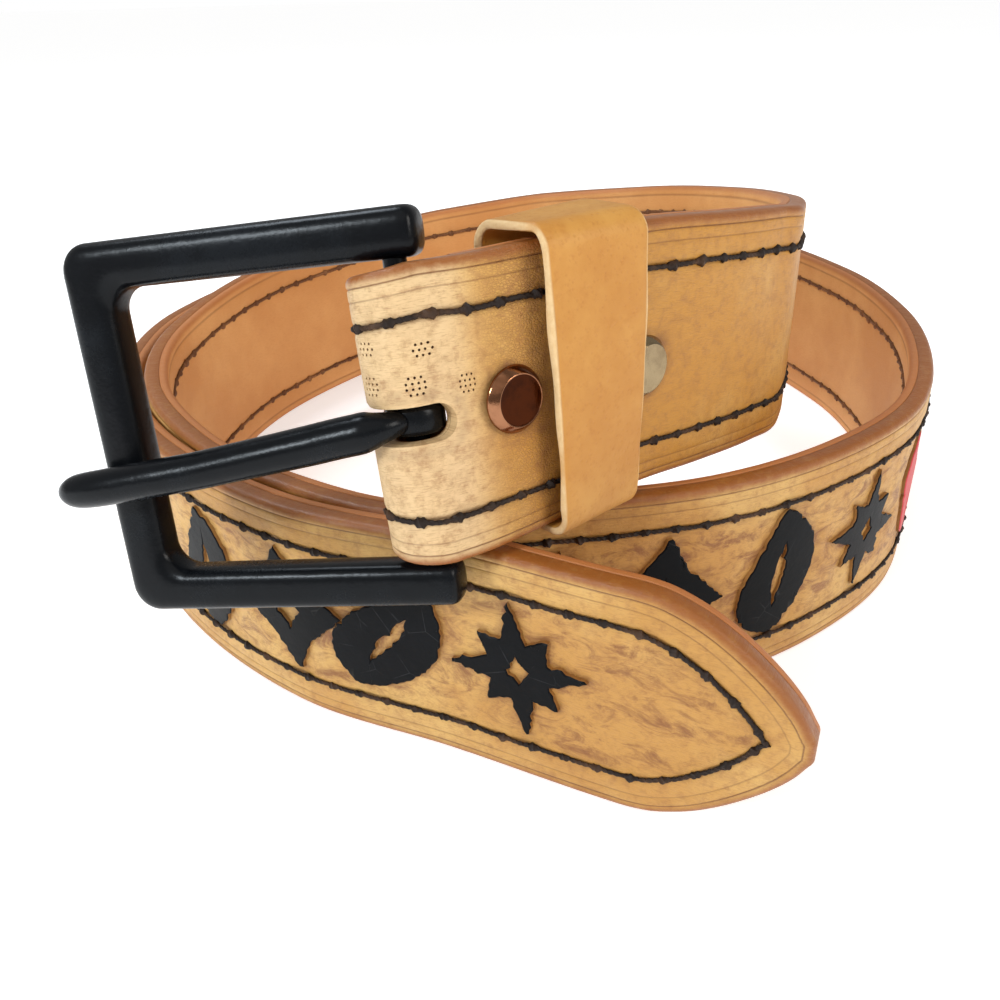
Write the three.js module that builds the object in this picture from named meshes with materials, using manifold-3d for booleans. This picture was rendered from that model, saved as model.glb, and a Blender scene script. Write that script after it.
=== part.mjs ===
// A tooled leather belt, stood on its edge in a loose coil of two turns, with its buckle end on top in front.
// Millimetres, +Z up. The origin is the middle of the coil's plan, on the surface that it stands on.
import * as THREE from 'three';
import { mergeVertices } from 'three/addons/utils/BufferGeometryUtils.js';
import Module from 'manifold-3d';

const wasm = await Module();
wasm.setup();

// Driving dimensions
const GAP = 0.3;
const STRAP = { width: 38, outer: 2.6, lining: 1.6, edge: 0.7, fine: 3.5, coarse: 7 };
const FOLD = { radius: 5.8, settle: 7.4, narrow: 1.6, turns: 10, end: 42 };
const LINING = { start: 7, edge: 0.5 };
const SLOT = { centre: 18.75, height: 4.8, front: 2.5, back: 7.5, split: 3.6 };
const RIVET = { radius: 4.45, crown: 1.6, bevel: 1.1, under: 0.2, lip: 0.3, post: 1.5, bore: 1.8 };
const RIVET_BACK = { radius: 3.6, rise: 0.8, bevel: 0.4, gap: 0.9 };
const RIVETS = [
  { name: 'rivet_1', along: 11.4, height: 19.4, seat: 0.85 },
  { name: 'rivet_2', along: 32.4, height: 18.2, seat: 0.5 },
];
const KEEPER = { from: 15.2, to: 29.6, wall: 1.2, front: 2, back: 2, below: 0.25, above: 1.2, round: 3.4, heel: 6, steps: 3 };
const HOLES = { count: 5, first: 127, pitch: 25.4, radius: 2.5 };
const BUCKLE = { reach: 45, knuckle: 3.8, height: 51.1, bar: 6.2, jamb: 6.5, depth: 6 };
const CORNERS = { outer: 3.2, inner: 3.5, end: 2.6, edge: 2, steps: 5, edgeSteps: 3 };
const HEEL = { radius: 1.5, at: 19, lean: 13.4, droop: 4.5, swing: 12.9 };
const PRONG_RING = { inner: 2.1, outer: 3.9, height: 3.8, drop: 0.25 };
const SIDES = 12;
const WELD = 1e-4;

// The belt's route: where the outer face's bottom edge runs, from the buckle fold to the tip.
// It starts above the coil, comes down inside it through one turn, and runs round outside itself to the tip.
// lean is how far the strap's top tips towards the inside of the coil, in degrees.
const ROUTE = [
  { x: -13.3, y: -94.7, z: 39.7, lean: 12.2 },
  { x: -7.8, y: -91.1, z: 39.6, lean: 9.3 },
  { x: -0.3, y: -85.2, z: 39.7, lean: 5.5 },
  { x: 11.7, y: -74.9, z: 39.7, lean: 1.5 },
  { x: 23.8, y: -64.9, z: 38.2, lean: 0.5 },
  { x: 34.6, y: -54.6, z: 36.5, lean: 1 },
  { x: 42.6, y: -43, z: 34.4, lean: 1 },
  { x: 51, y: -14.5, z: 30.4, lean: 0 },
  { x: 51.6, y: 23.5, z: 25.1, lean: 0 },
  { x: 38.9, y: 56.5, z: 20.2, lean: 0 },
  { x: 9.7, y: 75.4, z: 16, lean: 0 },
  { x: -14.9, y: 74.3, z: 13.6, lean: 0 },
  { x: -37.2, y: 64.7, z: 11.3, lean: 0 },
  { x: -66.5, y: 32.4, z: 8.1, lean: 0 },
  { x: -78.1, y: -1.6, z: 5.1, lean: 0 },
  { x: -75.6, y: -28.1, z: 2.6, lean: 0 },
  { x: -62.3, y: -49.7, z: 0.6, lean: 0 },
  { x: -43.5, y: -66.9, z: 0, lean: 0 },
  { x: -21.8, y: -78.4, z: 0, lean: 0 },
  { x: 2, y: -77, z: 0, lean: 0 },
  { x: 26.3, y: -72.7, z: 0, lean: 0 },
  { x: 48.6, y: -61.4, z: 0, lean: 0 },
  { x: 68.1, y: -43.5, z: 0, lean: 0 },
  { x: 81, y: -17.7, z: 0, lean: 0 },
  { x: 87.8, y: 12.2, z: 0, lean: 0 },
  { x: 86.3, y: 47, z: 0, lean: 0 },
  { x: 71, y: 85.2, z: 0, lean: 0 },
  { x: 36.2, y: 107.2, z: 0, lean: 0 },
  { x: 7.1, y: 108.6, z: 0, lean: 0 },
  { x: -23.4, y: 102.1, z: 0, lean: 0 },
  { x: -64.7, y: 71.8, z: 0, lean: 0 },
  { x: -85.6, y: 28.5, z: 0, lean: 0 },
  { x: -87.6, y: -4.6, z: 0, lean: 0 },
  { x: -79.5, y: -32.5, z: 0, lean: 0 },
  { x: -63.7, y: -55.7, z: 0, lean: 0 },
  { x: -41.5, y: -75.1, z: 0, lean: 0.3 },
  { x: -16.5, y: -87, z: 0.1, lean: 1.2 },
  { x: 6.1, y: -98.4, z: 0, lean: 0.3 },
  { x: 30.7, y: -109.6, z: 0, lean: 0 },
];

// Half the strap's height at each distance from the tip
const TIP = [
  { from: 0, half: 1.2 },
  { from: 0.6, half: 2.6 },
  { from: 1.9, half: 4.9 },
  { from: 4, half: 7.6 },
  { from: 7.2, half: 10.8 },
  { from: 11, half: 13.9 },
  { from: 15, half: 16.4 },
  { from: 20, half: 18.4 },
  { from: 24, half: 19 },
];

// The prong's middle line, from inside its ring to its tip: reach is along the buckle from the heel bar,
// rise is up the heel bar, front is towards the viewer, and half is the shaft's half thickness.
const PRONG = [
  { reach: 0.9, rise: -0.2, front: 2.9, half: 1.5 },
  { reach: 2.2, rise: -0.3, front: 4.2, half: 1.75 },
  { reach: 4, rise: -0.6, front: 5.1, half: 1.95 },
  { reach: 6.1, rise: -1, front: 5.3, half: 2.2 },
  { reach: 6.9, rise: -1.1, front: 5.3, half: 2.6 },
  { reach: 18.6, rise: -2.9, front: 5.5, half: 2.55 },
  { reach: 28.4, rise: -4.3, front: 5.8, half: 2.5 },
  { reach: 35, rise: -5, front: 6.1, half: 2.5 },
  { reach: 42.1, rise: -5.8, front: 6.1, half: 2.5 },
  { reach: 46.7, rise: -6.3, front: 5.7, half: 2.35 },
  { reach: 48.8, rise: -6.5, front: 5.4, half: 1.7 },
  { reach: 49.6, rise: -6.6, front: 5.2, half: 0.8 },
];

const leather = new THREE.MeshStandardMaterial({ color: 0xcfa263, roughness: 0.55, metalness: 0 });
const flesh = new THREE.MeshStandardMaterial({ color: 0xc9935f, roughness: 0.7, metalness: 0 });
const keeperLeather = new THREE.MeshStandardMaterial({ color: 0xd6953e, roughness: 0.6, metalness: 0 });
const blackPaint = new THREE.MeshStandardMaterial({ color: 0x1c2026, roughness: 0.4, metalness: 0.2 });
const bronze = new THREE.MeshStandardMaterial({ color: 0x7a5a48, roughness: 0.25, metalness: 1 });
const nickel = new THREE.MeshStandardMaterial({ color: 0xb9b4a8, roughness: 0.25, metalness: 1 });

// The route as curves, and the strap's own directions at a distance along it

const route = new THREE.CatmullRomCurve3(ROUTE.map(({ x, y, z }) => new THREE.Vector3(x, y, z)), false, 'catmullrom');
const leans = new THREE.CatmullRomCurve3(ROUTE.map(({ lean }) => new THREE.Vector3(lean, 0, 0)), false, 'catmullrom');
route.arcLengthDivisions = ROUTE.length * 40;
const strapLength = route.getLength();

function frameAt(distance) {
  const t = route.getUtoTmapping(0, distance);
  const along = route.getTangent(t);
  const level = new THREE.Vector3(-along.y, along.x, 0).normalize();
  const rise = new THREE.Vector3().crossVectors(along, level);
  const lean = THREE.MathUtils.degToRad(leans.getPoint(t).x);
  const inward = level.clone().multiplyScalar(Math.cos(lean)).addScaledVector(rise, -Math.sin(lean));
  const up = rise.clone().multiplyScalar(Math.cos(lean)).addScaledVector(level, Math.sin(lean));
  const point = route.getPoint(t);
  point.z = Math.max(0, point.z);
  return { point, along, inward, up };
}

function spot(frame, depth, height, reach = 0) {
  return frame.point.clone()
    .addScaledVector(frame.inward, depth)
    .addScaledVector(frame.up, height)
    .addScaledVector(frame.along, reach);
}

function turned(frame) {
  const axes = new THREE.Matrix4().makeBasis(frame.along, frame.inward.clone().negate(), frame.up.clone().negate());
  return new THREE.Quaternion().setFromRotationMatrix(axes);
}

function distances(from, to, step) {
  const count = Math.ceil(Math.abs(to - from) / step);
  return Array.from({ length: count + 1 }, (_, i) => from + ((to - from) * i) / count);
}

function lookUp(table, at, key, value) {
  const next = table.findIndex((row) => row[key] >= at);
  if (next < 0) return table[table.length - 1][value];
  if (next === 0) return table[0][value];
  const share = (at - table[next - 1][key]) / (table[next][key] - table[next - 1][key]);
  return THREE.MathUtils.lerp(table[next - 1][value], table[next][value], share);
}

// Closed meshes

function closed(positions, triangles) {
  let volume = 0;
  for (let i = 0; i < triangles.length; i += 3) {
    const [a, b, c] = [0, 1, 2].map((k) => positions[triangles[i + k]]);
    volume += a.dot(new THREE.Vector3().crossVectors(b, c));
  }
  const faces = volume < 0 ? triangles.slice().reverse() : triangles;
  const geometry = new THREE.BufferGeometry();
  geometry.setAttribute('position', new THREE.Float32BufferAttribute(positions.flatMap((p) => p.toArray()), 3));
  geometry.setIndex(faces);
  return geometry;
}

function quads(triangles, first, second, count) {
  for (let i = 0; i < count; i += 1) {
    const next = (i + 1) % count;
    const [a, b, c, d] = [first + i, first + next, second + next, second + i];
    // Both faces of a wall are split along the same diagonal
    if (i < count / 2) triangles.push(a, b, c, a, c, d);
    else triangles.push(a, b, d, b, c, d);
  }
}

function loft(rings) {
  const count = rings[0].length;
  const last = (rings.length - 1) * count;
  const triangles = [];
  for (let ring = 0; ring < last; ring += count) quads(triangles, ring, ring + count, count);
  for (let i = 1; i < count - 1; i += 1) {
    triangles.push(0, i + 1, i);
    triangles.push(last, last + i, last + i + 1);
  }
  return closed(rings.flat(), triangles);
}

function sleeve(outerRings, innerRings) {
  const count = outerRings[0].length;
  const last = (outerRings.length - 1) * count;
  const inside = outerRings.length * count;
  const triangles = [];
  for (let ring = 0; ring < last; ring += count) {
    quads(triangles, ring, ring + count, count);
    quads(triangles, inside + ring + count, inside + ring, count);
  }
  quads(triangles, inside, 0, count);
  quads(triangles, last, inside + last, count);
  return closed([...outerRings.flat(), ...innerRings.flat()], triangles);
}

function toSolid(geometry) {
  const bare = geometry.clone();
  bare.deleteAttribute('normal');
  bare.deleteAttribute('uv');
  const merged = mergeVertices(bare, WELD);
  const vertProperties = new Float32Array(merged.attributes.position.array);
  const triVerts = new Uint32Array(merged.index.array);
  return new wasm.Manifold(new wasm.Mesh({ numProp: 3, vertProperties, triVerts }));
}

function toGeometry(solid) {
  const { vertProperties, triVerts } = solid.getMesh();
  const geometry = new THREE.BufferGeometry();
  geometry.setAttribute('position', new THREE.Float32BufferAttribute(vertProperties, 3));
  geometry.setIndex(Array.from(triVerts));
  return geometry;
}

function without(geometry, cutters) {
  return toGeometry(cutters.reduce((solid, cutter) => solid.subtract(toSolid(cutter)), toSolid(geometry)));
}

// Strap layers: a section is a rectangle with its corners taken off, depth from the grain side and height up

function section(place, near, far, low, high, edge) {
  const cut = Math.min(edge, (high - low) / 3);
  return [
    [near + cut, low], [far - cut, low], [far, low + cut], [far, high - cut],
    [far - cut, high], [near + cut, high], [near, high - cut], [near, low + cut],
  ].map(([depth, height]) => place(depth, height));
}

function halfHeight(distance) {
  return lookUp(TIP, strapLength - distance, 'from', 'half');
}

function stations() {
  const tipRows = TIP.map(({ from }) => strapLength - from).reverse();
  return [
    ...distances(0, FOLD.end, STRAP.fine).slice(0, -1),
    ...distances(FOLD.end, tipRows[0], STRAP.coarse).slice(0, -1),
    ...tipRows,
  ];
}

function returnDepth(distance) {
  const stack = 2 * STRAP.outer + STRAP.lining + 2 * GAP;
  if (distance >= FOLD.settle) return stack;
  const share = 0.5 + 0.5 * Math.cos((Math.PI * distance) / FOLD.settle);
  return THREE.MathUtils.lerp(stack, 2 * FOLD.radius, share);
}

function strapOuter() {
  const start = frameAt(0);
  const middle = STRAP.width / 2;
  const back = distances(FOLD.end, 0, STRAP.fine / 2).map((distance) => {
    const frame = frameAt(distance);
    const place = (depth, height) => spot(frame, returnDepth(distance) - depth, height);
    return section(place, 0, STRAP.outer, FOLD.narrow, STRAP.width - FOLD.narrow, STRAP.edge);
  });
  const fold = distances(Math.PI, 0, Math.PI / FOLD.turns).slice(1, -1).map((angle) => {
    const place = (depth, height) => {
      const radius = FOLD.radius - depth;
      return spot(start, FOLD.radius - radius * Math.cos(angle), height, -radius * Math.sin(angle));
    };
    const inset = FOLD.narrow * (angle / Math.PI);
    return section(place, 0, STRAP.outer, inset, STRAP.width - inset, STRAP.edge);
  });
  const front = stations().map((distance) => {
    const frame = frameAt(distance);
    const half = halfHeight(distance);
    return section((d, h) => spot(frame, d, h), 0, STRAP.outer, middle - half, middle + half, STRAP.edge);
  });
  return without(loft([...back, ...fold, ...front]), [...slotCutters(), ...rivetBores(), ...prongHoles()]);
}

function strapLining() {
  const near = STRAP.outer + GAP;
  const middle = STRAP.width / 2;
  const rings = stations().filter((distance) => distance >= LINING.start).map((distance) => {
    const frame = frameAt(distance);
    const half = halfHeight(distance);
    const place = (depth, height) => spot(frame, depth, height);
    return section(place, near, near + STRAP.lining, middle - half, middle + half, LINING.edge);
  });
  return without(loft(rings), [...rivetBores(), ...prongHoles()]);
}

// Cutters, square to the strap's face

function bore(distance, height, radius, depth) {
  const frame = frameAt(distance);
  const cutter = new THREE.CylinderGeometry(radius, radius, 2 * depth, SIDES);
  cutter.applyQuaternion(turned(frame));
  const { x, y, z } = spot(frame, depth / 2, height);
  return cutter.translate(x, y, z);
}

function rivetBores() {
  return RIVETS.map(({ along, height }) => bore(along, height, RIVET.bore, 2 * FOLD.radius));
}

function prongHoles() {
  return Array.from({ length: HOLES.count }, (_, i) => {
    const distance = strapLength - HOLES.first - i * HOLES.pitch;
    return bore(distance, STRAP.width / 2, HOLES.radius, 2 * STRAP.outer + STRAP.lining);
  });
}

function slotCutters() {
  const frame = frameAt(0);
  const cut = (end, near, far) => {
    const half = SLOT.height / 2;
    const left = -2 * FOLD.radius;
    const shape = new THREE.Shape();
    shape.moveTo(left, -half);
    shape.lineTo(end - half, -half);
    shape.absarc(end - half, 0, half, -Math.PI / 2, Math.PI / 2, false);
    shape.lineTo(left, half);
    shape.closePath();
    const cutter = new THREE.ExtrudeGeometry(shape, { depth: far - near, bevelEnabled: false, curveSegments: 8 });
    const axes = new THREE.Matrix4().makeBasis(frame.along, frame.up, frame.inward.clone().negate());
    const { x, y, z } = spot(frame, far, SLOT.centre);
    return cutter.applyMatrix4(axes).translate(x, y, z);
  };
  return [cut(SLOT.front, -FOLD.radius, FOLD.radius), cut(SLOT.back, SLOT.split, 3 * FOLD.radius)];
}

// The keeper: a flat band bent round the strap and its folded end

function keeperLoop(frame, inset) {
  const stack = returnDepth(FOLD.end);
  const shape = new THREE.Shape();
  const near = -KEEPER.front - KEEPER.wall + inset;
  const far = stack + KEEPER.back + KEEPER.wall - inset;
  const low = -KEEPER.below - KEEPER.wall + inset;
  const high = STRAP.width + KEEPER.above + KEEPER.wall - inset;
  const round = KEEPER.round - inset;
  const heel = KEEPER.heel - inset;
  shape.absarc(near + round, low + round, round, Math.PI, 1.5 * Math.PI, false);
  shape.absarc(far - heel, low + heel, heel, 1.5 * Math.PI, 2 * Math.PI, false);
  shape.absarc(far - round, high - round, round, 0, 0.5 * Math.PI, false);
  shape.absarc(near + round, high - round, round, 0.5 * Math.PI, Math.PI, false);
  return shape.getPoints(KEEPER.steps).slice(0, -1).map(({ x, y }) => spot(frame, x, y));
}

function keeper() {
  const frames = distances(KEEPER.from, KEEPER.to, 4).map(frameAt);
  return sleeve(frames.map((frame) => keeperLoop(frame, 0)), frames.map((frame) => keeperLoop(frame, KEEPER.wall)));
}

// A rivet: bevelled cap in front, post through the layers, smaller cap behind

function rivet(seat) {
  const stack = returnDepth(FOLD.end);
  const { radius, crown, bevel, under, lip, post } = RIVET;
  const behind = -stack - RIVET_BACK.gap;
  const end = behind - RIVET_BACK.rise;
  const profile = [
    [0, end], [RIVET_BACK.radius - RIVET_BACK.bevel, end], [RIVET_BACK.radius, behind - RIVET_BACK.bevel],
    [RIVET_BACK.radius, behind], [post, behind], [post, seat], [radius - under, seat],
    [radius, seat + lip], [radius - bevel, crown], [0, crown],
  ].map(([x, y]) => new THREE.Vector2(x, y));
  return toGeometry(toSolid(new THREE.LatheGeometry(profile, 2 * SIDES)));
}

// The buckle, in its own directions: the heel bar is its Z axis and the frame reaches towards -X

function buckleFrame() {
  const left = -BUCKLE.reach;
  const right = BUCKLE.knuckle;
  const top = BUCKLE.height / 2;
  const lintel = top - BUCKLE.bar;
  const jamb = left + BUCKLE.jamb;
  const { outer, inner, end, edge } = CORNERS;
  const shape = new THREE.Shape();
  shape.moveTo(jamb, lintel - inner);
  shape.absarc(jamb + inner, lintel - inner, inner, Math.PI, 0.5 * Math.PI, true);
  shape.lineTo(right, lintel);
  shape.absarc(right - end, top - end, end, 0, 0.5 * Math.PI, false);
  shape.absarc(left + outer, top - outer, outer, 0.5 * Math.PI, Math.PI, false);
  shape.absarc(left + outer, outer - top, outer, Math.PI, 1.5 * Math.PI, false);
  shape.absarc(right - end, end - top, end, 1.5 * Math.PI, 2 * Math.PI, false);
  shape.lineTo(right, -lintel);
  shape.absarc(jamb + inner, inner - lintel, inner, 1.5 * Math.PI, Math.PI, true);
  shape.closePath();
  const frame = new THREE.ExtrudeGeometry(shape, {
    depth: BUCKLE.depth - 2 * edge,
    bevelThickness: edge,
    bevelSize: edge,
    bevelOffset: -edge,
    bevelSegments: CORNERS.edgeSteps,
    curveSegments: CORNERS.steps,
  });
  frame.translate(0, 0, edge - BUCKLE.depth / 2).rotateX(Math.PI / 2);
  const heel = new THREE.CylinderGeometry(HEEL.radius, HEEL.radius, 2 * top - BUCKLE.bar, SIDES).rotateX(Math.PI / 2);
  return toGeometry(toSolid(frame).add(toSolid(heel)));
}

function prong() {
  const { inner, outer, height, drop } = PRONG_RING;
  const wall = [[inner, 0], [outer, 0], [outer, height], [inner, height], [inner, 0]];
  const ring = new THREE.LatheGeometry(wall.map(([x, y]) => new THREE.Vector2(x, y)), 2 * SIDES);
  ring.rotateX(Math.PI / 2).translate(0, 0, -height / 2 - drop);
  const middles = PRONG.map(({ reach, rise, front }) => new THREE.Vector3(-reach, -front, rise));
  const rings = PRONG.map(({ half }, i) => {
    const before = middles[Math.max(0, i - 1)];
    const after = middles[Math.min(middles.length - 1, i + 1)];
    const along = after.clone().sub(before).normalize();
    const up = new THREE.Vector3(0, 0, 1).addScaledVector(along, -along.z).normalize();
    const side = new THREE.Vector3().crossVectors(along, up);
    return Array.from({ length: SIDES }, (_, k) => {
      const angle = (2 * Math.PI * k) / SIDES;
      return middles[i].clone()
        .addScaledVector(up, half * Math.cos(angle))
        .addScaledVector(side, half * Math.sin(angle));
    });
  });
  return toGeometry(toSolid(ring).add(toSolid(loft(rings))));
}

// The assembly

function part(name, geometry, material) {
  const mesh = new THREE.Mesh(geometry, material);
  mesh.name = name;
  return mesh;
}

const belt = new THREE.Group();
belt.add(part('strap_outer', strapOuter(), leather));
belt.add(part('strap_lining', strapLining(), flesh));
belt.add(part('keeper', keeper(), keeperLeather));
for (const { name, along, height, seat } of RIVETS) {
  const frame = frameAt(along);
  const mesh = part(name, rivet(seat), name === 'rivet_1' ? bronze : nickel);
  mesh.position.copy(spot(frame, 0, height));
  mesh.quaternion.copy(turned(frame));
  belt.add(mesh);
}

const buckle = new THREE.Group();
buckle.position.copy(spot(frameAt(0), FOLD.radius, HEEL.at));
buckle.rotation.set(...[-HEEL.lean, -HEEL.droop, -HEEL.swing].map(THREE.MathUtils.degToRad));
buckle.add(part('buckle_frame', buckleFrame(), blackPaint));
buckle.add(part('prong', prong(), blackPaint));
belt.add(buckle);

export default belt;
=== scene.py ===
# A tooled leather belt stood on its edge in a loose coil, with its buckle end on top in front.
# Metres and +Z up, as in the CAD frame. Leather is cut flat in millimetres, then bent onto the belt's route.
import math
import random

import bmesh
import bpy
import numpy as np
from mathutils import Matrix, Vector, noise


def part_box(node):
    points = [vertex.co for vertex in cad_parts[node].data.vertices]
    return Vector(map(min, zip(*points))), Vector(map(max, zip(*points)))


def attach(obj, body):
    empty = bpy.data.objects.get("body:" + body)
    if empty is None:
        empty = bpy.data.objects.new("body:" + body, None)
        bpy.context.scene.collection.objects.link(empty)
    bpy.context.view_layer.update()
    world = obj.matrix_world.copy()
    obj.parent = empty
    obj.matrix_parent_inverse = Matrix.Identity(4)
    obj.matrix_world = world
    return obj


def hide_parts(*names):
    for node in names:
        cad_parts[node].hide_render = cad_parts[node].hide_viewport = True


print("loading the frame")
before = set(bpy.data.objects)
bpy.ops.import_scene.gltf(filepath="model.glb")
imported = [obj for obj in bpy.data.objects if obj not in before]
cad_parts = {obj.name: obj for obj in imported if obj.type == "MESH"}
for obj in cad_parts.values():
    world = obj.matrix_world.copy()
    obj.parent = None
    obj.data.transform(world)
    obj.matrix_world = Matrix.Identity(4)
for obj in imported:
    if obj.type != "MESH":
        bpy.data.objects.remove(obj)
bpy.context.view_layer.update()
mm = 0.001


# The camera, at the photograph's viewpoint

camera = dict(
    place=(-0.0079, -0.1932, 0.10358),
    tilt=29.02,  # degrees below the horizon
    roll=-1.614,
    lens=32.785,
    sensor=36,
)


def addCamera(look):
    data = bpy.data.cameras.new("camera")
    data.lens = look["lens"]
    data.sensor_width = look["sensor"]
    data.clip_start = 0.005
    seen = bpy.data.objects.new("camera", data)
    turn = Matrix.Rotation(math.radians(90 - look["tilt"]), 4, "X")
    turn = turn @ Matrix.Rotation(math.radians(look["roll"]), 4, "Z")
    seen.matrix_world = Matrix.Translation(look["place"]) @ turn
    bpy.context.scene.collection.objects.link(seen)
    bpy.context.scene.camera = seen


addCamera(camera)


# Shader maths: a wrapped socket, whose sums add Math nodes and whose node method adds any other


class Socket:
    def __init__(self, tree, socket=None):
        self.tree = tree
        self.socket = socket

    def node(self, kind, settings=None, inputs=None, output=0):
        made = self.tree.nodes.new("ShaderNode" + kind)
        for name, value in (settings or {}).items():
            setattr(made, name, value)
        for name, value in (inputs or {}).items():
            if isinstance(value, Socket):
                self.tree.links.new(value.socket, made.inputs[name])
            else:
                made.inputs[name].default_value = value
        return Socket(self.tree, made.outputs[output] if made.outputs else None)

    def math(self, operation, *values):
        return self.node("Math", dict(operation=operation), dict(enumerate(values)))

    def __add__(self, other):
        return self.math("ADD", self, other)

    def __radd__(self, other):
        return self.math("ADD", other, self)

    def __sub__(self, other):
        return self.math("SUBTRACT", self, other)

    def __rsub__(self, other):
        return self.math("SUBTRACT", other, self)

    def __mul__(self, other):
        return self.math("MULTIPLY", self, other)

    def __rmul__(self, other):
        return self.math("MULTIPLY", other, self)

    def below(self, low, high):
        # 1 under low, 0 over high, and a smooth fall between them
        inputs = {"Value": self, "From Min": low, "From Max": high, "To Min": 1.0, "To Max": 0.0}
        return self.node("MapRange", dict(interpolation_type="SMOOTHSTEP"), inputs)

    def above(self, low, high):
        return 1 - self.below(low, high)

    def line(self, at, half):
        # 1 on the line at a value, and 0 from half away from it
        return self.math("ABSOLUTE", self - at).below(0, half)

    def lines(self, rows):
        # several such lines, each with its own strength
        return sum(self.line(at, half) * strength for at, half, strength in rows)

    def mix(self, first, second):
        # this socket is how much of the second colour there is
        return self.node("Mix", dict(data_type="RGBA"), {0: self, 6: first, 7: second}, output=2)

    def tint(self, tone, second, low, high, share=1.0):
        # the second colour's share where this pattern is above a level
        return (self.above(low, high) * share).mix(tone, second)

    def noise(self, scale, detail, rough, distort=0.0):
        inputs = {"Vector": self, "Scale": scale, "Detail": detail, "Roughness": rough, "Distortion": distort}
        return self.node("TexNoise", None, inputs)

    def cells(self, scale, feature="F1"):
        return self.node("TexVoronoi", dict(feature=feature), {"Vector": self, "Scale": scale})

    def stretched(self, by, turn):
        inputs = {"Vector": self, "Scale": by, "Rotation": (0.0, 0.0, math.radians(turn))}
        return self.node("Mapping", None, inputs)

    def streaks(self, by, turn, *noise):
        return self.stretched(by, turn).noise(*noise)

    def bump(self, distance, strength):
        return self.node("Bump", None, {"Height": self, "Distance": distance, "Strength": strength})

    def marked(self, name):
        # what the piece's vertices are marked with
        return self.node("Attribute", dict(attribute_name=name), output="Fac")

    def leatherMap(self):
        return self.node("UVMap", dict(uv_map="leather"), output="UV")


def colour(red, green, blue):
    # a screen colour, 0 to 255, as the light that the shader works in
    part = [c / 255 for c in (red, green, blue)]
    return tuple(c / 12.92 if c <= 0.04045 else ((c + 0.055) / 1.055) ** 2.4 for c in part) + (1.0,)


def material(name):
    # a bare material, and the place on the object that its patterns follow
    made = bpy.data.materials.new(name)
    made.use_nodes = True
    made.node_tree.nodes.clear()
    return made, Socket(made.node_tree).node("TexCoord", output="Object")


def surfaced(made, tone, rough, gloss, others):
    # the shader itself: values that are the same all over go on its own sockets
    start = Socket(made.node_tree)
    inputs = {"Base Color": tone, "Roughness": rough, "Specular IOR Level": gloss, **others}
    start.node("OutputMaterial", None, {"Surface": start.node("BsdfPrincipled", None, inputs)})
    return made


# The belt's route: where the grain face's bottom edge runs, from the buckle fold to the tip

route = dict(
    points=[  # x, y, z in mm, and how far the strap leans towards the inside of the coil, in degrees
        (-13.3, -94.7, 39.7, 12.2), (-7.8, -91.1, 39.6, 9.3), (-0.3, -85.2, 39.7, 5.5),
        (11.7, -74.9, 39.7, 1.5), (23.8, -64.9, 38.2, 0.5), (34.6, -54.6, 36.5, 1), (42.6, -43, 34.4, 1),
        (51, -14.5, 30.4, 0), (51.6, 23.5, 25.1, 0), (38.9, 56.5, 20.2, 0), (9.7, 75.4, 16, 0),
        (-14.9, 74.3, 13.6, 0), (-37.2, 64.7, 11.3, 0), (-66.5, 32.4, 8.1, 0), (-78.1, -1.6, 5.1, 0),
        (-75.6, -28.1, 2.6, 0), (-62.3, -49.7, 0.6, 0), (-43.5, -66.9, 0, 0), (-21.8, -78.4, 0, 0),
        (2, -77, 0, 0), (26.3, -72.7, 0, 0), (48.6, -61.4, 0, 0), (68.1, -43.5, 0, 0), (81, -17.7, 0, 0),
        (87.8, 12.2, 0, 0), (86.3, 47, 0, 0), (71, 85.2, 0, 0), (36.2, 107.2, 0, 0), (7.1, 108.6, 0, 0),
        (-23.4, 102.1, 0, 0), (-64.7, 71.8, 0, 0), (-85.6, 28.5, 0, 0), (-87.6, -4.6, 0, 0),
        (-79.5, -32.5, 0, 0), (-63.7, -55.7, 0, 0), (-41.5, -75.1, 0, 0.3), (-16.5, -87, 0.1, 1.2),
        (6.1, -98.4, 0, 0.3), (30.7, -109.6, 0, 0),
    ],
    divisions=1560,
)
strap = dict(
    width=38,
    outer=2.88,  # thickness of the tooled layer
    lining=1.6,
    liningGap=0.02,
    liningStart=7,
    foldRadius=5.8,
    foldEnd=42,
    settle=7.4,
    narrow=1.6,
    stack=7.4,  # from the grain face to the folded end's grain face behind it
    tip=[  # distance from the tip, and half the strap's height there
        (0, 1.2), (0.6, 2.6), (1.9, 4.9), (4, 7.6), (7.2, 10.8), (11, 13.9), (15, 16.4), (20, 18.4), (24, 19),
    ],
    tipSteps=400,
    tipZone=26,
    tipMargin=6,
    outlineSteps=90,
    rounding=1.0,
    edgeShare=0.92,  # the most of the half height that the rows near the edge take up
    smooth=42,  # degrees between faces that are shaded as one surface
)
midline = strap["width"] / 2
liningFace = -strap["outer"] - strap["liningGap"] - strap["lining"]


def throughPoints(rows, at):
    # a smooth curve through the rows and its slope, where at runs from 0 to 1 over the whole of it
    ends = np.vstack([2 * rows[0] - rows[1], rows, 2 * rows[-1] - rows[-2]])
    reach = np.asarray(at, float) * (len(rows) - 1)
    first = np.minimum(reach.astype(int), len(rows) - 2)
    share = (reach - first)[:, None]
    a, b, c, d = (ends[first + k] for k in range(4))
    leaving, arriving = (c - a) / 2, (d - b) / 2
    cubic = 2 * (b - c) + leaving + arriving
    square = 3 * (c - b) - 2 * leaving - arriving
    value = ((cubic * share + square) * share + leaving) * share + b
    slope = (3 * cubic * share + 2 * square) * share + leaving
    return value, slope


def unit(vectors):
    return vectors / np.linalg.norm(vectors, axis=1, keepdims=True)


def lengths(line):
    # how far along the line each of its points is
    return np.concatenate([[0], np.cumsum(np.linalg.norm(np.diff(line, axis=0), axis=1))])


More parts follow.
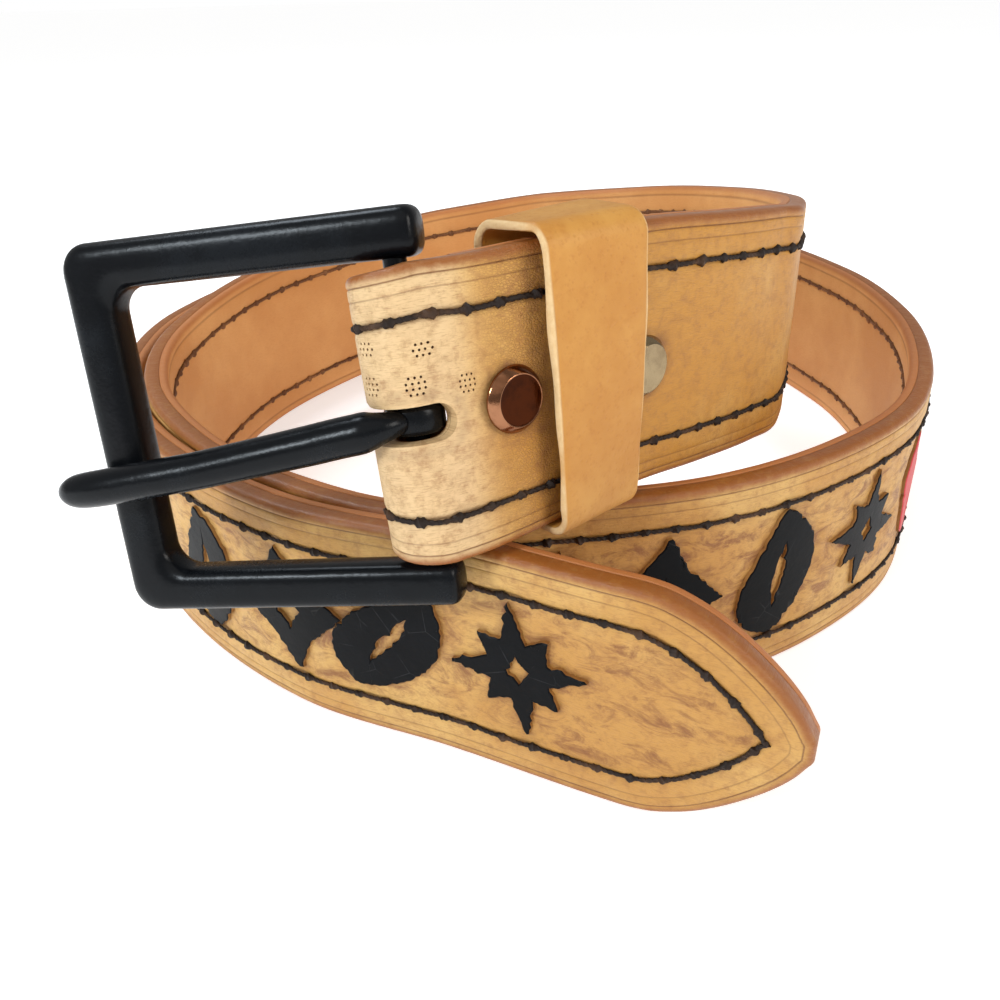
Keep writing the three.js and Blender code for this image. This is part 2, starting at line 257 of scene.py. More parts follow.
def pointsAlong(line, at):
    run = lengths(line)
    return np.stack([np.interp(at, run, line[:, 0]), np.interp(at, run, line[:, 1])], 1)


def closed(line):
    return np.vstack([line, line[:1]])


def circle(count):
    # the angles of points evenly spaced round a circle
    return np.arange(count) * 2 * math.pi / count


routeRows = np.array(route["points"], float)
shares = np.linspace(0, 1, route["divisions"] + 1)
travelled = lengths(throughPoints(routeRows, shares)[0][:, :3])
strapLength = travelled[-1]
tipStart = strapLength - strap["tipZone"]
foldLength = math.pi * strap["foldRadius"]

tipRows = np.array([(math.sqrt(far), half) for far, half in strap["tip"]])
tipCurve = throughPoints(tipRows, np.linspace(0, 1, strap["tipSteps"]))[0]


def framesAt(distance):
    # the strap's own directions at distances along it: point, ahead, inward and up
    value, slope = throughPoints(routeRows, np.interp(distance, travelled, shares))
    ahead = unit(slope[:, :3])
    level = unit(np.stack([-ahead[:, 1], ahead[:, 0], np.zeros(len(ahead))], 1))
    rise = np.cross(ahead, level)
    lean = np.radians(value[:, 3])[:, None]
    inward = level * np.cos(lean) - rise * np.sin(lean)
    up = rise * np.cos(lean) + level * np.sin(lean)
    point = value[:, :3].copy()
    point[:, 2] = np.maximum(point[:, 2], 0)
    return point, ahead, inward, up


def placed(flat):
    # flat leather in mm (along the belt, up, out of the grain face) goes to its place on the belt, in metres
    x, y, z = np.asarray(flat, float).T
    radius = strap["foldRadius"]
    angle = np.clip(-x / radius, 0, math.pi)
    along = np.where(x > 0, x, np.maximum(-x - foldLength, 0))
    point, ahead, inward, up = framesAt(along)
    settled = 0.5 + 0.5 * np.cos(math.pi * np.minimum(along / strap["settle"], 1))
    closing = np.where(x < -foldLength, (2 * radius - strap["stack"]) * (1 - settled), 0)
    depth = radius - (radius + z) * np.cos(angle) - closing
    reach = -(radius + z) * np.sin(angle)
    spots = point + inward * depth[:, None] + up * y[:, None] + ahead * reach[:, None]
    return spots * mm


def halfHeight(x):
    # half the strap's height at places along it, narrower round the fold and rounded to its tip
    fromTip = np.sqrt(np.maximum(strapLength - x, 0))
    front = np.interp(fromTip, tipCurve[:, 0], tipCurve[:, 1])
    return np.where(x >= 0, front, midline - strap["narrow"] * np.clip(-x / foldLength, 0, 1))


def segmentDistance(points, line):
    # how far each point is from a line of points
    best = np.full(len(points), 1e9)
    for a, b in zip(line[:-1], line[1:]):
        run = b - a
        share = np.clip(((points - a) @ run) / max(run @ run, 1e-12), 0, 1)
        best = np.minimum(best, np.linalg.norm(points - a - share[:, None] * run, axis=1))
    return best


def edgeDistance(x, y):
    # how far flat leather is from its nearest cut edge, in mm
    near = halfHeight(x) - np.abs(y - midline)
    near = np.minimum(near, np.maximum(x + foldLength + strap["foldEnd"], 0))
    reach = math.sqrt(strap["tipZone"] + strap["tipMargin"])
    far = strapLength - np.linspace(reach, 0, strap["outlineSteps"]) ** 2
    outline = np.stack([far, midline + halfHeight(far)], 1)
    outline = np.vstack([outline, [strapLength, midline], (outline * [1, -1] + [0, 2 * midline])[::-1]])
    tip = x > tipStart
    near[tip] = segmentDistance(np.stack([x[tip], y[tip]], 1), outline)
    return np.maximum(near, 0)


# Flat blanks: a grid is wrapped round a section, so that its last row meets its first


def wrapped(columns, rows, shape, looped=False):
    form = bmesh.new()
    across = columns if looped else columns - 1
    bmesh.ops.create_grid(form, x_segments=across, y_segments=rows, size=1)
    spread = np.array([v.co for v in form.verts])
    column = np.rint((spread[:, 0] + 1) / 2 * across).astype(int)
    row = np.rint((spread[:, 1] + 1) / 2 * rows).astype(int) % rows
    if looped:
        column = column % columns
    for v, place in zip(form.verts, shape(column, row)):
        v.co = place
    bmesh.ops.remove_doubles(form, verts=form.verts, dist=1e-5)
    if not looped:
        bmesh.ops.holes_fill(form, edges=[e for e in form.edges if e.is_boundary], sides=0)
    bmesh.ops.recalc_face_normals(form, faces=form.faces)
    return form


def gathered(forms):
    # several forms in one
    whole = bmesh.new()
    for form in forms:
        loose = bpy.data.meshes.new("loose")
        form.to_mesh(loose)
        form.free()
        whole.from_mesh(loose)
        bpy.data.meshes.remove(loose)
    return whole


def pieceFrom(form, name, *materials):
    mesh = bpy.data.meshes.new(name)
    form.to_mesh(mesh)
    form.free()
    for made in materials:
        mesh.materials.append(made)
    piece = bpy.data.objects.new(name, mesh)
    bpy.context.scene.collection.objects.link(piece)
    return piece


def coordinates(mesh):
    flat = np.zeros(len(mesh.vertices) * 3)
    mesh.vertices.foreach_get("co", flat)
    return flat.reshape(-1, 3)


def smoothed(mesh, angle):
    mesh.polygons.foreach_set("use_smooth", [True] * len(mesh.polygons))
    mesh.set_sharp_from_angle(angle=math.radians(angle))


def bent(piece, flat, marks, angle, turned=False):
    # marks the flat piece, lays out its own map in centimetres, and bends it onto the belt's route
    mesh = piece.data
    for name, values in marks.items():
        marked = mesh.attributes.new(name, "FLOAT", "POINT").data
        marked.foreach_set("value", np.broadcast_to(values, len(flat)).astype(np.float32))
    loops = np.zeros(len(mesh.loops), int)
    mesh.loops.foreach_get("vertex_index", loops)
    laid = mesh.uv_layers.new(name="leather").data
    laid.foreach_set("uv", (flat[loops, :2] / 10).astype(np.float32).ravel())
    mesh.vertices.foreach_set("co", placed(flat).astype(np.float32).ravel())
    mesh.update()
    if turned:
        mesh.flip_normals()
    smoothed(mesh, angle)


def cutAway(piece, cutters):
    # takes the cutters out of a closed flat piece
    cut = piece.modifiers.new("cut", "BOOLEAN")
    cut.operation = "DIFFERENCE"
    cut.solver = "EXACT"
    cut.object = cutters
    graph = bpy.context.evaluated_depsgraph_get()
    whole = piece.data
    piece.data = bpy.data.meshes.new_from_object(piece.evaluated_get(graph))
    piece.modifiers.clear()
    bpy.data.meshes.remove(whole)
    bpy.data.objects.remove(cutters)


def finished(piece, body, slot=None, *nodes):
    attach(piece, body)
    if nodes:
        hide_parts(*nodes)
    print("made", piece.name, len(piece.data.polygons), "faces")


# What is tooled into the strap

tooling = dict(
    creases=[(1.5, 0.22, 0.22), (3.1, 0.22, 0.13), (6.25, 0.7, 0.42)],  # from the edge, half width and depth
    worn=(0.85, 0.5),  # how deep the creases are, and how much that varies
    drift=0.12,
    slot=dict(front=2.5, back=7.5, centre=18.75, height=4.8, step=0.9, arc=13),
    holes=dict(count=5, first=127, pitch=25.4, radius=2.5, sides=32),
    pits=dict(radius=0.18, depth=0.5, pitch=0.78, rowPitch=0.87, sides=8),
    pitClusters=[  # along, up, and rows of pits in each
        (-2.0, 23.7, 4), (4.6, 22.9, 4), (-0.5, 27.9, 3), (-8.0, 28.6, 3), (-8.2, 24.0, 4),
    ],
)


def slotOutline():
    cut = tooling["slot"]
    centre, half = cut["centre"], cut["height"] / 2
    left = -foldLength - cut["back"] + half
    right = cut["front"] - half
    turn = np.linspace(-math.pi / 2, math.pi / 2, cut["arc"])
    along = np.arange(left, right, cut["step"])
    rows = [(x, centre - half) for x in along]
    rows += [(right + half * math.cos(a), centre + half * math.sin(a)) for a in turn]
    rows += [(x, centre + half) for x in along[::-1]]
    rows += [(left - half * math.cos(a), centre - half * math.sin(a)) for a in turn[1:-1]]
    return np.array(rows)


def addPrism(form, outline, low, high):
    # a closed prism on an outline
    ring = [form.verts.new((x, y, low)) for x, y in outline]
    face = form.faces.new(ring)
    raised = bmesh.ops.extrude_face_region(form, geom=[face])["geom"]
    moved = [v for v in raised if isinstance(v, bmesh.types.BMVert)]
    bmesh.ops.translate(form, verts=moved, vec=(0, 0, high - low))


def addRound(form, x, y, look, low, high):
    turn = circle(look["sides"])
    addPrism(form, zip(x + look["radius"] * np.cos(turn), y + look["radius"] * np.sin(turn)), low, high)


def pitPlaces():
    # each cluster is rows of pits, side by side as in a honeycomb
    places = []
    pits = tooling["pits"]
    for x, y, rows in tooling["pitClusters"]:
        for row in range(rows):
            level = row - (rows - 1) / 2
            count = rows - int(abs(level) + 0.5) + 1
            for i in range(count):
                across = (i - (count - 1) / 2) * pits["pitch"]
                places.append((x + across, y + level * pits["pitch"] * pits["rowPitch"]))
    return places


def strapCutters(withSlot):
    form = bmesh.new()
    deep = 2 * (strap["outer"] + strap["lining"])
    holes, pits = tooling["holes"], tooling["pits"]
    for i in range(holes["count"]):
        addRound(form, strapLength - holes["first"] - i * holes["pitch"], midline, holes, -deep, deep)
    if withSlot:
        addPrism(form, slotOutline(), -deep, deep)
        for x, y in pitPlaces():
            addRound(form, x, y, pits, -pits["depth"], deep)
    bmesh.ops.recalc_face_normals(form, faces=form.faces)
    return pieceFrom(form, "cutters")


# The tooled layer

outerBlank = dict(
    inner=7.2,  # rows closer to the edge than this keep their distance from it
    faceRows=[
        0, 0.08, 0.3, 0.62, 0.95, 1.28, 1.5, 1.72, 2.1, 2.6, 2.88, 3.1, 3.32, 3.8, 4.6, 5.4, 5.85, 6.25,
        6.65, 7.2,
    ],
    innerRows=12,
    wallRows=[(0, -1.6), (0, -2.6), (0.14, -2.86), (0.6, -2.88), (7.2, -2.88)],
    cutFrom=-1.2,  # everything below this counts as cut edge
    back=12,  # columns from here back are wider apart
    backColumns=16,
    foldColumns=34,
    fine=0.9,
    fineTo=45,
    coarse=1.5,
    motifStep=0.85,
    motifReach=13,
    tipColumns=44,
)


def sectionRows(look):
    # one half of the section from the middle of its back, round its edge, to the middle of its face
    half = [(edge, 0, z) for edge, z in reversed(look["wallRows"])]
    half = [(look["inner"], 1, half[0][2]), *half]
    half += [(edge, 0, 0) for edge in look["faceRows"]]
    half += [(look["inner"], (i + 1) / look["innerRows"], 0) for i in range(look["innerRows"])]
    upper = [(1, *row) for row in half[1:-1]]
    return np.array([(-1, *row) for row in half] + upper[::-1])


def blank(look, columns):
    rows = sectionRows(look)
    half = halfHeight(columns)
    slant = np.sqrt(1 + np.gradient(half, columns) ** 2)
    scale = np.minimum(slant, strap["edgeShare"] * half / look["inner"])

    def shape(column, row):
        side, edge, share, z = rows[row].T
        inward = edge * scale[column] + share * (half[column] - look["inner"] * scale[column])
        return np.stack([columns[column], midline + side * (half[column] - inward), z], 1)

    return wrapped(len(columns), len(rows), shape)


def tipColumns(look):
    return strapLength - np.linspace(math.sqrt(strap["tipZone"]), 0, look["tipColumns"]) ** 2


def outerColumns(look):
    fold = -foldLength - look["back"]
    back = np.linspace(-foldLength - strap["foldEnd"], fold, look["backColumns"])[:-1]
    fold = np.linspace(fold, 0, look["foldColumns"])[:-1]
    near = np.arange(0, look["fineTo"], look["fine"])
    rest = [near[-1] + look["fine"]]
    while rest[-1] < tipStart - look["coarse"]:
        tooled = any(abs(rest[-1] - motif["along"]) < look["motifReach"] for motif in motifs)
        rest.append(rest[-1] + (look["motifStep"] if tooled else look["coarse"]))
    return np.concatenate([back, fold, near, rest, tipColumns(look)])


# Motifs: plain shapes with torn edges, painted black or red

motifRows = [  # shape, place along and up the strap, turn and paint
    ("star", strapLength - 41, 19.4, 8, "black"),
    ("leaf", strapLength - 62, 18.8, -16, "black"),
    ("lozenge", strapLength - 81, 19.2, 5, "black"),
    ("leaf", strapLength - 102, 18.8, 18, "black"),
    ("leaf", 467.3, 19, -12, "black"),
    ("lozenge", 489.3, 18.8, -6, "black"),
    ("leaf", 511.3, 19, 14, "black"),
    ("star", 534.3, 18.9, -8, "black"),
    ("flame", 557.3, 19.2, 6, "red"),
    ("star", 580.3, 19, 8, "black"),
    ("leaf", 603.3, 19, -14, "black"),
    ("lozenge", 625.3, 19, 6, "black"),
]
motifs = [dict(zip(("shape", "along", "up", "turn", "paint"), row)) for row in motifRows]
painting = dict(
    tall=23,
    seed=100,
    step=0.7,  # spacing of the torn outline's points, in mm
    ragged=0.13,
    nick=0.55,
    nickShare=0.1,
    root=-0.9,
    crown=0.02,
    round=0.22,
    roundRise=0.16,
    slice=1.5,
    near=15,
    # how much stain and painted shade darkens the motifs' side walls
    sideStainAndShade=0.6,
    fromEdge=12,
)
faraway = 99.0


def besideAxis(axis, width, level):
    # a closed outline that runs up one side of an axis and down the other
    sides = [np.stack([axis + out, level], 1) for out in (width, -width)]
    return np.vstack([sides[0], sides[1][-2:0:-1]])


def shapeLines(shape):
    # outlines of one motif, a unit tall, with the hole inside it
    t = np.linspace(0, 1, 40)
    if shape == "star":
        point = np.arange(16) % 4
        reach = np.where(point == 0, 0.5, np.where(point == 2, 0.37, 0.23))
        outer = np.stack([reach * np.sin(circle(16)) * 0.95, reach * np.cos(circle(16))], 1)
        return outer, np.array([(0, 0.1), (0.07, 0), (0, -0.1), (-0.07, 0)])
    if shape == "lozenge":
        right = [(0, 0.5), (0.14, 0.23), (0.38, 0), (0.14, -0.23)]
        outer = np.array(right + [(-x, -y) for x, y in right])
        return outer * [1.25, 1], outer * [0.3, 0.34]
    if shape == "leaf":
        slit = np.linspace(0.24, 0.72, 16)
        width = 0.35 * np.sin(math.pi * t ** 0.8) ** 0.85
        slitWidth = 0.05 * np.sin(math.pi * (slit - 0.24) / 0.48)
        axis, slitAxis = (0.13 * np.sin(math.pi * (level - 0.5)) for level in (t, slit))
        return besideAxis(axis, width, t - 0.5), besideAxis(slitAxis, slitWidth, slit - 0.5)
    outer = besideAxis(0.1 * np.sin(2 * math.pi * t), 0.31 * np.sin(math.pi * t ** 0.6), t - 0.5)
    return outer, np.array([(0.02, -0.12), (0.07, -0.26), (0.01, -0.34), (-0.04, -0.25)])


def torn(line, draw):
    # the line's points evenly spaced, and moved a little to and fro
    ring = closed(line)
    even = pointsAlong(ring, np.arange(0, lengths(ring)[-1] - painting["step"] / 2, painting["step"]))
    ahead = np.roll(even, -1, axis=0) - np.roll(even, 1, axis=0)
    aside = unit(np.stack([ahead[:, 1], -ahead[:, 0]], 1))
    moves = [draw.gauss(0, painting["ragged"]) for _ in even]
    nick, share = painting["nick"], painting["nickShare"]
    moves = [move - nick * draw.random() if draw.random() < share else move for move in moves]
    return even + aside * np.array(moves)[:, None]


def motifLines(motif, number):
    draw = random.Random(painting["seed"] + number)
    turn = math.radians(motif["turn"])
    spin = np.array([[math.cos(turn), -math.sin(turn)], [math.sin(turn), math.cos(turn)]])
    place = [motif["along"], motif["up"]]
    return [torn(line * painting["tall"], draw) @ spin.T + place for line in shapeLines(motif["shape"])]


motifOutlines = [motifLines(motif, number) for number, motif in enumerate(motifs)]


def nearer(far, x, y, line, near):
    # brings far down to how far the near places are from a closed line
    spots = np.stack([x[near], y[near]], 1)
    far[near] = np.minimum(far[near], segmentDistance(spots, closed(line)))


def motifDistance(x, y):
    # how far flat leather is from the nearest painted outline
    far = np.full(len(x), faraway)
    for motif, lines in zip(motifs, motifOutlines):
        for line in lines:
            nearer(far, x, y, line, np.abs(x - motif["along"]) < painting["near"])
    return far


def motifForm(lines):
    # a motif cut out of flat leather, in slices so that it can bend, with a rounded rim to its painted top
    form = bmesh.new()
    edges = []
    for line in lines:
        ring = [form.verts.new((x, y, painting["root"])) for x, y in line]
        edges += [form.edges.new((a, b)) for a, b in zip(ring, ring[1:] + ring[:1])]
    bmesh.ops.triangle_fill(form, use_beauty=True, edges=edges)
    first, last = min(v.co.x for v in form.verts), max(v.co.x for v in form.verts)
    for x in np.arange(first + painting["slice"] / 2, last, painting["slice"]):
        whole = form.verts[:] + form.edges[:] + form.faces[:]
        bmesh.ops.bisect_plane(form, geom=whole, plane_co=(x, 0, 0), plane_no=(1, 0, 0))
    for face in form.faces:
        if face.normal.z < 0:
            face.normal_flip()
    raised = bmesh.ops.extrude_face_region(form, geom=form.faces[:])["geom"]
    tops = [f for f in raised if isinstance(f, bmesh.types.BMFace)]
    lifted = [v for v in raised if isinstance(v, bmesh.types.BMVert)]
    bmesh.ops.translate(form, verts=lifted, vec=(0, 0, painting["crown"] - painting["root"]))
    for face in form.faces:
        face.material_index = 1
    rim = bmesh.ops.inset_region(
        form, faces=tops, thickness=painting["round"], depth=painting["roundRise"], use_even_offset=True,
    )
    for face in tops + rim["faces"]:
        face.material_index = 0
    bmesh.ops.recalc_face_normals(form, faces=form.faces)
    return form


def paintedPiece(shade, name, top, side):
    forms = [motifForm(lines) for motif, lines in zip(motifs, motifOutlines) if motif["paint"] == shade]
    piece = pieceFrom(gathered(forms), name, top, side)
    # the motifs' side walls are darkened with stain and painted shade, as the leather close to them is
    marks = dict(edge=painting["fromEdge"], stain_and_shade=painting["sideStainAndShade"], ground=0)
    bent(piece, coordinates(piece.data), marks, 35)
    finished(piece, "strap", "tooled_leather")


# Relief on the tooled face

relief = dict(
    background=0.14,  # how far the ground between the stitch lines is pressed down near the motifs
    around=0.4,
    reach=3.4,
    mottle=0.112,
    unevenness=0.05,
    slotDip=0.25,
    zones=[(449, 645), (strapLength - 122, strapLength - 9)],
    zoneFade=(8, 5),  # how far the ground fades out before a zone and past it
    groundEdge=(6.7, 8.2),  # where it fades in from the strap's edge
    slotReach=(-45, 20),
)
skin = -0.001  # what is above this on a flat blank is its face


def fall(value, low, high):
    share = np.clip((value - low) / (high - low), 0, 1)
    return 1 - share * share * (3 - 2 * share)


def rough(x, y, size, seed):
    return np.array([noise.noise(Vector((a / size, b / size, seed))) for a, b in zip(x, y)])


def groundShare(x, edge):
    # how far flat leather belongs to the matted ground between the stitch lines
    share = np.zeros(len(x))
    before, past = relief["zoneFade"]
    for low, high in relief["zones"]:
        share = np.maximum(share, fall(low - x, 0, before) * fall(x - high, 0, past))
    return share * (1 - fall(edge, *relief["groundEdge"]))


def creased(look, edge, wander):
    # the face's height where crease lines follow its edge
    height = np.zeros(len(edge))
    deep, change = look["worn"]
    for at, half, depth in look["creases"]:
        off = (edge - at - look["drift"] * wander) / half
        height -= depth * (deep + change * wander) * np.exp(-(off ** 2) * 2)
    return height


def curled(edge, rounding):
    # how far the face falls away where its cut edge is rounded
    rise = np.sqrt(np.clip(1 - (1 - edge / rounding) ** 2, 0, 1))
    return np.where(edge < rounding, rounding * (1 - rise), 0)


def faceRelief(x, y, edge, toMotif, toSlot):
    height = creased(tooling, edge, rough(x, y, 14, 3.1))
    height -= groundShare(x, edge) * (relief["background"] + relief["mottle"] * rough(x, y, 1.9, 7.7))
    height -= relief["around"] * fall(toMotif, 0.2, relief["reach"])
    height += relief["unevenness"] * rough(x, y, 6, 1.3) * fall(-edge, -9, -6)
    height -= relief["slotDip"] * fall(toSlot, 0, 0.6)
    return height


def cutPiece(look, columns, name, leatherMade, withSlot):
    # a flat strap with its holes, and where its vertices are
    piece = pieceFrom(blank(look, columns), name, leatherMade)
    cutAway(piece, strapCutters(withSlot))
    flat = coordinates(piece.data)
    return piece, flat, flat.T.copy()


def tooledStrap(leatherMade):
    columns = outerColumns(outerBlank)
    piece, flat, (x, y, z) = cutPiece(outerBlank, columns, "strap_front", leatherMade, withSlot=True)
    edge = edgeDistance(x, y)
    toMotif = motifDistance(x, y)
    toSlot = np.full(len(x), faraway)
    first, last = relief["slotReach"]
    nearer(toSlot, x, y, slotOutline(), (x > first) & (x < last))
    toRivet = np.min([np.hypot(x - spec["along"], y - spec["up"]) for spec in rivets], axis=0)
    height = faceRelief(x, y, edge, toMotif, toSlot) - curled(edge, strap["rounding"])
    flat[:, 2] = np.where(z > skin, z + height, z)
    # Darkening round the motifs, the slot, the rivets and the keeper: partly stain, partly painted shade, row
    # by row as below.
    stains_and_shades = [  # distance from what it lies round, where it starts and stops fading, and how dark it is
        # stain and painted shade close to the raised motifs
        (toMotif, 0.1, 1.3, 0.62),
        # a darker ring just outside the slot
        (np.abs(toSlot - 1.1), 0.1, 1.2, 0.5),
        # painted shadow round the rivet caps
        (toRivet, rivet["radius"], rivet["radius"] + 1.3, 0.8),
        # painted shadow along the keeper's edge
        (np.abs(x - keeper["start"]), 0.6, 2.2, 0.62),
    ]
    patchy = np.clip(0.55 + 0.9 * rough(x, y, 1.7, 5.2), 0, 1)
    stain_and_shade = np.max([fall(away, low, high) * dark * patchy for away, low, high, dark in stains_and_shades], axis=0)
    # painted shade: the stamped pits are coloured dark as the shade inside them
    pit = (z > -tooling["pits"]["depth"] - 0.01) & (z < -0.1) & (edge > 3)
    stain_and_shade = np.where(pit, 1.6, np.clip(stain_and_shade, 0, 1))
    marks = dict(edge=np.where(z < outerBlank["cutFrom"], 0, edge), stain_and_shade=stain_and_shade, ground=groundShare(x, edge))
    bent(piece, flat, marks, strap["smooth"])
    finished(piece, "strap", "tooled_leather", "strap_outer")


# The lining

liningBlank = dict(
    inner=7.2,
    faceRows=[0, 0.12, 0.5, 1.0, 1.6, 1.95, 2.3, 3.2, 5.6, 5.95, 6.25, 6.55, 7.2],
    innerRows=6,
    wallRows=[(0, -1.1), (0, -1.48), (0.12, -1.6), (0.6, -1.6), (7.2, -1.6)],
    step=1.6,
    tipColumns=40,
    creases=[(1.95, 0.32, 0.16), (6.25, 0.6, 0.3)],
    worn=(0.8, 0.6),
    drift=0,
    unevenness=0.07,
    rounding=0.8,
    cutFrom=-1.0,
)


def liningStrap(leatherMade):
    # made face up, as the tooled layer is, and then turned to look inwards
    look = liningBlank
    columns = np.arange(strap["liningStart"], tipStart - look["step"], look["step"])
    columns = np.concatenate([columns, tipColumns(look)])
    piece, flat, (x, y, z) = cutPiece(look, columns, "strap_back", leatherMade, withSlot=False)
    edge = np.minimum(edgeDistance(x, y), np.maximum(x - strap["liningStart"], 0.4))
    height = creased(look, edge, rough(x, y, 14, 5.1))
    height += look["unevenness"] * rough(x, y, 7, 2.2) * fall(-edge, -3, -1)
    z = np.where(z > skin, z + height - curled(edge, look["rounding"]), z)
    flat[:, 2] = liningFace - z
    bent(piece, flat, dict(edge=np.where(z < look["cutFrom"], 0, edge)), strap["smooth"], turned=True)
    finished(piece, "strap", "lining_leather", "strap_lining")


# Stitches: one waxed thread along each line, twisted from two, with a knot where it goes through

stitching = dict(
    edge=6.25,
    pitch=5.0,
    radius=0.3,
    waist=0.25,
    twist=1.9,  # length of one turn of the two plies, in mm
    ring=8,
    seat=-0.2,
    rise=0.24,
    knotRise=0.2,
    knot=0.95,  # how much thicker the thread is at a knot
    knotHalf=0.66,
    steps=[0, 0.2, 0.36, 0.48, 0.58, 0.68, 0.8, 1.1, 1.45, 1.8, 2.15],  # from a knot to halfway to the next
    sway=0.26,
    shiver=0.05,
    flattened=(1.15, 0.9),  # the thread's width and height in its radius
    knotSize=(0.7, 0.6),  # the least that a knot adds, and how much that varies
    tipReach=14,
    tipMargin=4,
    lineSteps=(2.0, 0.5, 0.05),  # along the straight part, along the tip, and up to its edge
    pointPast=0.9,
    smooth=60,
)


def stitchLine(first):
    # the stitch line in flat mm: along the upper edge to its point near the tip, and back along the lower one
    plainStep, tipStep, upStep = stitching["lineSteps"]
    plain = np.arange(first, tipStart, plainStep)
    tip = np.arange(tipStart, strapLength - stitching["tipMargin"], tipStep)
    offs = np.arange(0, stitching["tipReach"], upStep)
    spots = np.stack([np.repeat(tip, len(offs)), np.tile(offs + midline, len(tip))], 1)
    inside = edgeDistance(spots[:, 0], spots[:, 1]).reshape(len(tip), -1) >= stitching["edge"]
    kept = inside[:, 0]
    tipReach = np.array([offs[row][-1] for row in inside[kept]])
    x = np.concatenate([plain, tip[kept]])
    off = np.concatenate([halfHeight(plain) - stitching["edge"], tipReach])
    half = np.stack([x, midline + off], 1)
    back = np.stack([x, midline - off], 1)[::-1]
    return np.vstack([half, [x[-1] + stitching["pointPast"], midline], back])


def stitches(name, first, side, threadMade):
    look = stitching
    line = stitchLine(first)
    length = lengths(line)[-1]
    around = [-step for step in look["steps"][:0:-1]] + look["steps"] + [look["pitch"] / 2]
    at = (np.arange(0, length, look["pitch"])[:, None] + np.array(around)).ravel()
    at = np.unique(np.clip(at, 0, length))
    middle = pointsAlong(line, at)
    ahead = unit(np.gradient(middle, at, axis=0))
    aside = np.stack([-ahead[:, 1], ahead[:, 0]], 1)
    wander = rough(at, at * 0, 9, 4.4) * look["sway"] + rough(at, at * 0, 2.2, 8.4) * look["shiver"]
    hole = np.abs(np.mod(at / look["pitch"] + 0.5, 1) - 0.5) * look["pitch"]
    firm = 0.5 + rough(np.rint(at / look["pitch"]), at * 0, 1.7, 6.6)
    swell = np.exp(-((hole / look["knotHalf"]) ** 4))
    lift = look["seat"] + look["rise"] * (1 - fall(hole, 0.3, 1.6)) + look["knotRise"] * swell
    ring = circle(look["ring"])
    wide, high = look["flattened"]
    least, change = look["knotSize"]

    def shape(column, row):
        angle = ring[row]
        radius = look["radius"] + (look["radius"] - look["waist"]) * np.cos(2 * angle)
        radius = radius * (1 + look["knot"] * (least + change * firm[column]) * swell[column])
        angle = angle + 2 * math.pi * at[column] / look["twist"]
        off = wander[column] + wide * radius * np.cos(angle)
        up = lift[column] + high * radius * np.sin(angle)
        spots = middle[column] + aside[column] * off[:, None]
        return np.stack([spots[:, 0], spots[:, 1], up], 1)

    piece = pieceFrom(wrapped(len(at), len(ring), shape), name, threadMade)
    flat = coordinates(piece.data)
    if side < 0:
        flat[:, 2] = liningFace - flat[:, 2]
    bent(piece, flat, {}, look["smooth"], turned=side < 0)
    finished(piece, "strap")


# The keeper: a band bent round the strap and its folded end

keeper = dict(
    start=15.2,
    width=14.4,
    wall=1.2,
    front=2,
    back=2,
    below=0.25,
    above=1.2,
    round=3.4,
    heel=6,
    step=1.1,
    arcSteps=9,
    bulge=0.35,
    bulgeFrom=20,  # only sides longer than this bulge
    wave=0.16,
    ripple=0.1,
    across=[  # one half of the band's section: in from the cut edge, and down from the outer face
        (0, -0.6), (0.02, -0.3), (0.12, -0.1), (0.4, 0), (1, 0), (2.2, 0), (3.6, 0), (5.2, 0), (6.6, 0),
    ],
)


def outward(degrees):
    turn = math.radians(degrees)
    return np.array([math.cos(turn), math.sin(turn)])


def keeperPath():
    # depth, height and the way out at each step round the loop
    look = keeper
    bend, heel = look["round"], look["heel"]
    near = -look["front"] - look["wall"] + bend
    far = strap["stack"] + look["back"] + look["wall"]
    low = -look["below"] - look["wall"]
    high = strap["width"] + look["above"] + look["wall"] - bend
    corners = [
        (near, low + bend, bend, 180),
        (far - heel, low + heel, heel, 270),
        (far - bend, high, bend, 0),
        (near, high, bend, 90),
    ]
    rows = []
    for corner, following in zip(corners, corners[1:] + corners[:1]):
        x, y, radius, first = corner
        nextX, nextY, nextRadius, nextFirst = following
        for i in range(look["arcSteps"] + 1):
            out = outward(first + 90 * i / look["arcSteps"])
            rows.append([*(radius * out + [x, y]), *out])
        out = outward(nextFirst)
        start, end = np.array(rows[-1][:2]), nextRadius * out + [nextX, nextY]
        length = np.linalg.norm(end - start)
        bulge = look["bulge"] if length > look["bulgeFrom"] else 0
        count = max(1, int(length / look["step"]))
        for i in range(1, count):
            swell = bulge * math.sin(math.pi * i / count)
            rows.append([*(start + (end - start) * i / count + out * swell), *out])
    return np.array(rows)


def keeperBand(leatherMade):
    look = keeper
    path = keeperPath()
    half = look["across"]
    outer = half + [(look["width"] - a, level) for a, level in reversed(half)]
    ring = np.array(outer + [(a, -look["wall"] - level) for a, level in reversed(outer[1:-1])])
    run = np.arange(len(path)) * look["step"]
    sway = look["wave"] * np.sin(run / 5.3) + look["ripple"] * np.sin(run / 1.9 + 1)

    def shape(column, row):
        across, level = ring[row].T
        depth, height, outX, outY = path[column].T
        along = look["start"] + across + sway[column] * np.where(across < look["width"] / 2, 1, -0.6)
        return np.stack([along, height + outY * level, -(depth + outX * level)], 1)

    piece = pieceFrom(wrapped(len(path), len(ring), shape, looped=True), "keeper_band", leatherMade)
    flat = coordinates(piece.data)
    edge = np.minimum(flat[:, 0] - look["start"], look["start"] + look["width"] - flat[:, 0])
    bent(piece, flat, dict(edge=np.maximum(edge, 0)), 50)
    finished(piece, "strap", "keeper_leather", "keeper")


# Rivets: a bevelled cap in front, a post through the layers and a smaller cap behind

